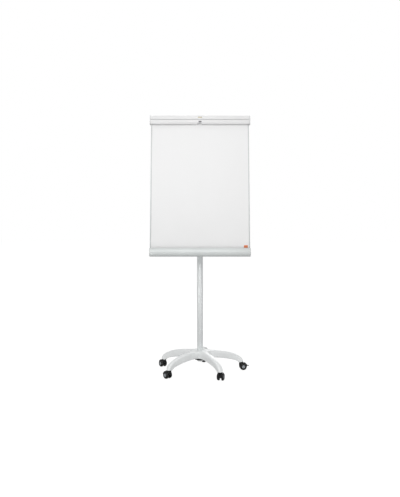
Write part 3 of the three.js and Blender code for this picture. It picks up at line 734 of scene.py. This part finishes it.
def facing(x, y, z, degrees, axis):
    return Matrix.Translation((x, y, z)) @ Matrix.Rotation(math.radians(degrees), 4, axis)


def make_screws():
    """The bracket's screws, and the ones sunk in the end caps of the rail and the tray."""
    behind = [facing(x, BRACKET_BACK, z, -90, "X") for x, z in BRACKET_SCREWS]
    piece("bracket_screws", copied(screw(4.2, 2.4), behind), "zinc", "board", BOARD)
    ends = []
    for side in (-1, 1):
        for y, z in RAIL_SCREWS:
            ends.append(facing(side * (RAIL_END + RAIL_CAP), y, z, side * 90, "Y"))
        for y, z in TRAY_SCREWS:
            ends.append(facing(side * (TRAY_END + TRAY_CAP), y, z, side * 90, "Y"))
    sunk = [place @ Matrix.Translation((0, 0, -SCREW_SUNK)) for place in ends]
    piece("end_screws", copied(screw(3.2, 1.8), sunk), "zinc", "board", BOARD)


# ---------------------------------------------------------------- castors: stem on Z, trailing along +X
WHEEL_RADIUS = 25.0
WHEEL_INNER = 8.5
WHEEL_OUTER = 24.4
WHEEL_SHOULDER = 9.0
WHEEL_EDGE = 2.0
WHEEL_BORE = 4.3
WHEEL_WEB = 3.0
HUB_RADIUS = 14.0
HUB_DEPTH = 2.0
HUB_LIP = 1.2
HUB_DISC = 11.0
DISC_RIM = 0.9
GROOVE_OUTER = 8.6
GROOVE_INNER = 3.9
GROOVE_SLOPE = 0.7
GROOVE_FLOOR = 0.8
TRAIL = 16.0
HOOD_INSIDE = 25.9
HOOD_OUTSIDE = 28.0
HOOD_HALF = 19.0
HOOD_FROM = 4.0
HOOD_TO = 140.0
NECK_RADIUS = 12.0
NECK_TOP = CASTOR_HEIGHT - 2.6
WEB_HALF = 8.05
WEB_FOOT = 4.0
AXLE_EYE = 11.0
BLOCK_HALF = 17.0
BLOCK_REAR = 18.0
BLOCK_CORNER = 10.0
BLOCK_LOW = 36.0
BLOCK_EASE = 2.5
STEM_RADIUS = 5.5
STEM_LOW = 35.2
STEM_HIGH = 84.4
COLLAR_RADIUS = 9.0
COLLAR_LOW = NECK_TOP + 0.4
COLLAR_HIGH = NECK_TOP + 2.3
FERRULE_HIGH = CASTOR_HEIGHT + 5
PEDAL_THICKNESS = 2.4
PEDAL_TIP = 43.8
PEDAL_HALF = 9.0
WHEEL_CENTRE = (TRAIL, WHEEL_RADIUS)


def castor_place(place):
    stem = Vector(joints[f"castor_swivel_{place}"]["pos_m"])
    axle = Vector(joints[f"wheel_roll_left_{place}"]["axis"])
    turn = Matrix((axle.cross(UP), axle, UP)).transposed().to_4x4()
    return Matrix.Translation((stem.x, stem.y, 0)) @ turn


def wheel_profile():
    tread_middle = (WHEEL_RADIUS - WHEEL_SHOULDER, WHEEL_OUTER - WHEEL_SHOULDER)
    tread = arc(*tread_middle, WHEEL_SHOULDER, WHEEL_SHOULDER, 90, 0, 14)
    inner = arc(WHEEL_RADIUS - WHEEL_EDGE, WHEEL_INNER + WHEEL_EDGE, WHEEL_EDGE, WHEEL_EDGE, 0, -90, 5)
    recess = WHEEL_OUTER - HUB_DEPTH
    return [(WHEEL_BORE, WHEEL_INNER), (WHEEL_BORE, recess - WHEEL_WEB), (0, recess - WHEEL_WEB), (0, recess),
            (HUB_RADIUS, recess), (HUB_RADIUS + HUB_LIP / 2, WHEEL_OUTER - 0.4),
            (HUB_RADIUS + HUB_LIP, WHEEL_OUTER)] + tread + inner


def hub_profile():
    """The disc in a wheel's recess: a rounded rim, a groove and a low cap in the middle."""
    base = WHEEL_OUTER - HUB_DEPTH
    floor = base + GROOVE_FLOOR
    rim = arc(HUB_DISC - DISC_RIM, base + DISC_RIM, DISC_RIM, DISC_RIM, 0, 90, 4)
    groove = [(GROOVE_OUTER, base + 1.5), (GROOVE_OUTER - GROOVE_SLOPE, floor),
              (GROOVE_INNER + GROOVE_SLOPE, floor), (GROOVE_INNER, base + 1.4)]
    cap = arc(GROOVE_INNER - 1.2, base + 1.3, 1.2, 0.5, 0, 90, 4)
    return [(0, base), (HUB_DISC, base)] + rim + groove + cap + [(0, base + 1.8)]


def make_wheels(place, here):
    for word, side in (("left", 1), ("right", -1)):
        outward = Matrix.Rotation(math.radians(-90 * side), 4, "X")
        hub = here @ Matrix.Translation((TRAIL * MM, 0, WHEEL_RADIUS * MM)) @ outward
        body = f"wheel_{word}_{place}"
        piece(f"tyre_{word}_{place}", lathe(wheel_profile()), "tyre", body, hub,
              [f"castor_wheel_{word}_{place}"], smooth=45)
        # The hub discs' light grey is partly painted highlight.
        piece(f"hub_disc_{word}_{place}", lathe(hub_profile()), "hub_disc", body, hub,
              smooth=25)


def make_hood(place, here):
    """The fender over the wheels and the web between them."""
    body = f"castor_{place}"
    fender = (arc(*WHEEL_CENTRE, HOOD_OUTSIDE, HOOD_OUTSIDE, HOOD_FROM, HOOD_TO, 48)
              + arc(*WHEEL_CENTRE, HOOD_INSIDE, HOOD_INSIDE, HOOD_TO, HOOD_FROM, 48))
    piece(f"castor_fender_{place}", prism(fender, -HOOD_HALF, HOOD_HALF, "y"), "hood_plastic", body,
          here, [f"castor_hood_{place}"], edge=0.8)
    eye = arc(*WHEEL_CENTRE, AXLE_EYE, AXLE_EYE, 215, 325, 16)
    crest = arc(*WHEEL_CENTRE, HOOD_INSIDE + 1, HOOD_INSIDE + 1, 5, 90, 16)
    web = [(-NECK_RADIUS, NECK_TOP), (-NECK_RADIUS, WHEEL_RADIUS + WEB_FOOT)] + eye + crest
    piece(f"castor_web_{place}", prism(web, -WEB_HALF, WEB_HALF, "y"), "hood_plastic", body,
          here, edge=0.8)


def make_neck(place, here):
    """The block that joins the hood to its stem, hollowed for the wheels and bored for the stem."""
    front = arc(BLOCK_CORNER - NECK_RADIUS, BLOCK_HALF - BLOCK_CORNER, BLOCK_CORNER, BLOCK_CORNER, 90, 180, 8)
    far_side = [(x, -y) for x, y in reversed(front)]
    outline = [(BLOCK_REAR, BLOCK_HALF)] + front + far_side + [(BLOCK_REAR, -BLOCK_HALF)]
    block = eased(thing("block", prism(outline, BLOCK_LOW, NECK_TOP, "z")), BLOCK_EASE, 4)
    room = prism(circle(*WHEEL_CENTRE, HOOD_INSIDE, 60), -HOOD_HALF, HOOD_HALF, "y")
    cut(block, thing("wheel_room", room))
    cut(block, thing("stem_bore", drum(STEM_RADIUS + GAP, 30, 60, 48)))
    piece(f"castor_neck_{place}", taken(block), "hood_plastic", f"castor_{place}", here)


def make_stem(place, here):
    """The stem, the collar under the leg's tip and the black ferrule in the tip."""
    collar = lathe(flange(STEM_RADIUS, COLLAR_RADIUS, COLLAR_LOW, COLLAR_HIGH, 0.4, 0.4), 64)
    piece(f"castor_collar_{place}", collar, "hood_plastic", "base", here)
    ferrule = flange(STEM_RADIUS + GAP, TIP_RADIUS - SNUG, CASTOR_HEIGHT + SNUG, FERRULE_HIGH, 0.8, 0.6)
    piece(f"leg_ferrule_{place}", lathe(ferrule, 64), "hood_plastic", "base", here)
    stem = lathe(flange(0, STEM_RADIUS, STEM_LOW, STEM_HIGH, 0.5, 1.0), 64)
    piece(f"castor_stem_{place}_finished", stem, "zinc", "base", here, [f"castor_stem_{place}"])


def make_pedal(place, here):
    """The brake's tread, which follows the hood round and ends in a flat toe."""
    inside = HOOD_OUTSIDE + GAP
    outside = inside + PEDAL_THICKNESS
    tip = TRAIL + PEDAL_TIP
    toe = [(TRAIL + outside + 2, WHEEL_RADIUS + 7.7), (tip, WHEEL_RADIUS + 6.1), (tip, WHEEL_RADIUS + 3.1),
           (TRAIL + inside, WHEEL_RADIUS + 4.7)]
    outline = (arc(*WHEEL_CENTRE, outside, outside, 62, 17, 20) + toe
               + arc(*WHEEL_CENTRE, inside, inside, 9, 62, 20))
    shape = prism(outline, -PEDAL_HALF, PEDAL_HALF, "y")
    piece(f"brake_pedal_{place}_finished", shape, "black_plastic", f"pedal_{place}", here,
          [f"brake_pedal_{place}"], edge=0.7)


def make_castor(place):
    here = castor_place(place)
    make_wheels(place, here)
    make_hood(place, here)
    make_neck(place, here)
    make_stem(place, here)
    kept(f"castor_axle_{place}", "steel")
    if f"brake_pedal_{place}" in frame["nodes"]:
        make_pedal(place, here)


# ---------------------------------------------------------------- stage
WORLD_STRENGTH = 0.5
FLOOR_RADIUS = 30.0
BACKDROP_RADIUS = 29.0
CARD_PLACE = (2.4, -1.3, 1.15)
CARD_TURN = 61
CARD_SIZE = (1.5, 1.7, 1, 1)
LIGHTS = {
    "key": ((-0.2, -2.5, 2.3), (0, 0, 1.7), (2.2, 1.0), 28),
    "overhead": ((-0.3, -1.9, 4.0), (0, 0, 0.6), (2.6, 2.2), 13),
    "low": ((-2.2, -2.2, 0.2), (0, 0, 0), (0.8, 0.3), 10),
    "low_right": ((2.0, -2.4, 0.2), (0, 0, 0), (0.6, 0.3), 9),
    "back": ((1.2, 3.6, 2.4), (0, 0, 1.3), (2.4, 1.6), 40),
}


def unseen_by(made, *rays):
    for ray in rays:
        setattr(made, f"visible_{ray}", False)


def glowing(name, level, reflectance):
    """A material that gives off light of its own and also reflects some."""
    made = bpy.data.materials.new(name)
    made.use_nodes = True
    shader = made.node_tree.nodes["Principled BSDF"]
    shader.inputs["Base Color"].default_value = (reflectance, reflectance, reflectance, 1)
    shader.inputs["Roughness"].default_value = 1.0
    shader.inputs["Specular IOR Level"].default_value = 0.0
    shader.inputs["Emission Color"].default_value = (1, 1, 1, 1)
    shader.inputs["Emission Strength"].default_value = level
    return made


def disc(name, height, look):
    shape = bmesh.new()
    bmesh.ops.create_circle(shape, cap_ends=True, segments=96, radius=FLOOR_RADIUS)
    made = thing(name, shape)
    made.location.z = height
    made.data.materials.append(look)
    return made


def softbox(name, place, target, size, power):
    data = bpy.data.lights.new(name, "AREA")
    data.shape = "RECTANGLE"
    data.size, data.size_y = size
    data.energy = power
    lamp = bpy.data.objects.new(name, data)
    lamp.location = place
    lamp.rotation_euler = (Vector(target) - Vector(place)).to_track_quat("-Z", "Y").to_euler()
    bpy.context.scene.collection.objects.link(lamp)


def make_world():
    scene = bpy.context.scene
    scene.view_settings.view_transform = "Standard"
    world = bpy.data.worlds.new("world")
    world.use_nodes = True
    background = world.node_tree.nodes["Background"]
    background.inputs["Color"].default_value = (1, 1, 1, 1)
    background.inputs["Strength"].default_value = WORLD_STRENGTH
    scene.world = world


def make_surroundings():
    """A floor in two layers, one for the camera and one that throws light back, and a white backdrop."""
    shown = disc("floor_shown", -0.0004, glowing("floor_shown", 0.86, 0.3))
    unseen_by(shown, "diffuse", "glossy", "transmission", "shadow")
    felt = disc("floor_felt", -0.003, glowing("floor_felt", 0.0, 0.58))
    unseen_by(felt, "camera")
    shape = bmesh.new()
    bmesh.ops.create_uvsphere(shape, u_segments=48, v_segments=24, radius=BACKDROP_RADIUS)
    dome = thing("backdrop", shape)
    dome.data.materials.append(glowing("backdrop", 1.0, 0.0))
    unseen_by(dome, "diffuse", "glossy", "transmission", "shadow", "volume_scatter")


def make_dark_card():
    """A black card that only reflections see. It darkens a stripe down the column."""
    shape = bmesh.new()
    bmesh.ops.create_grid(shape, x_segments=2, y_segments=2, size=0.5)
    card = thing("dark_card", shape)
    upright = Matrix.Rotation(math.radians(90), 4, "X")
    turned = Matrix.Rotation(math.radians(CARD_TURN), 4, "Z")
    card.matrix_world = Matrix.Translation(CARD_PLACE) @ turned @ upright @ Matrix.Diagonal(CARD_SIZE)
    card.data.materials.append(glowing("dark_card", 0.0, 0.02))
    unseen_by(card, "camera", "diffuse", "transmission", "shadow")


make_star_base()
make_hub()
make_ribs()
make_base_cover()
make_column()
make_mast()
make_board()
make_trim()
make_screws()
for place in places:
    make_castor(place)
make_world()
make_surroundings()
make_dark_card()
for name, choices in LIGHTS.items():
    softbox(name, *choices)
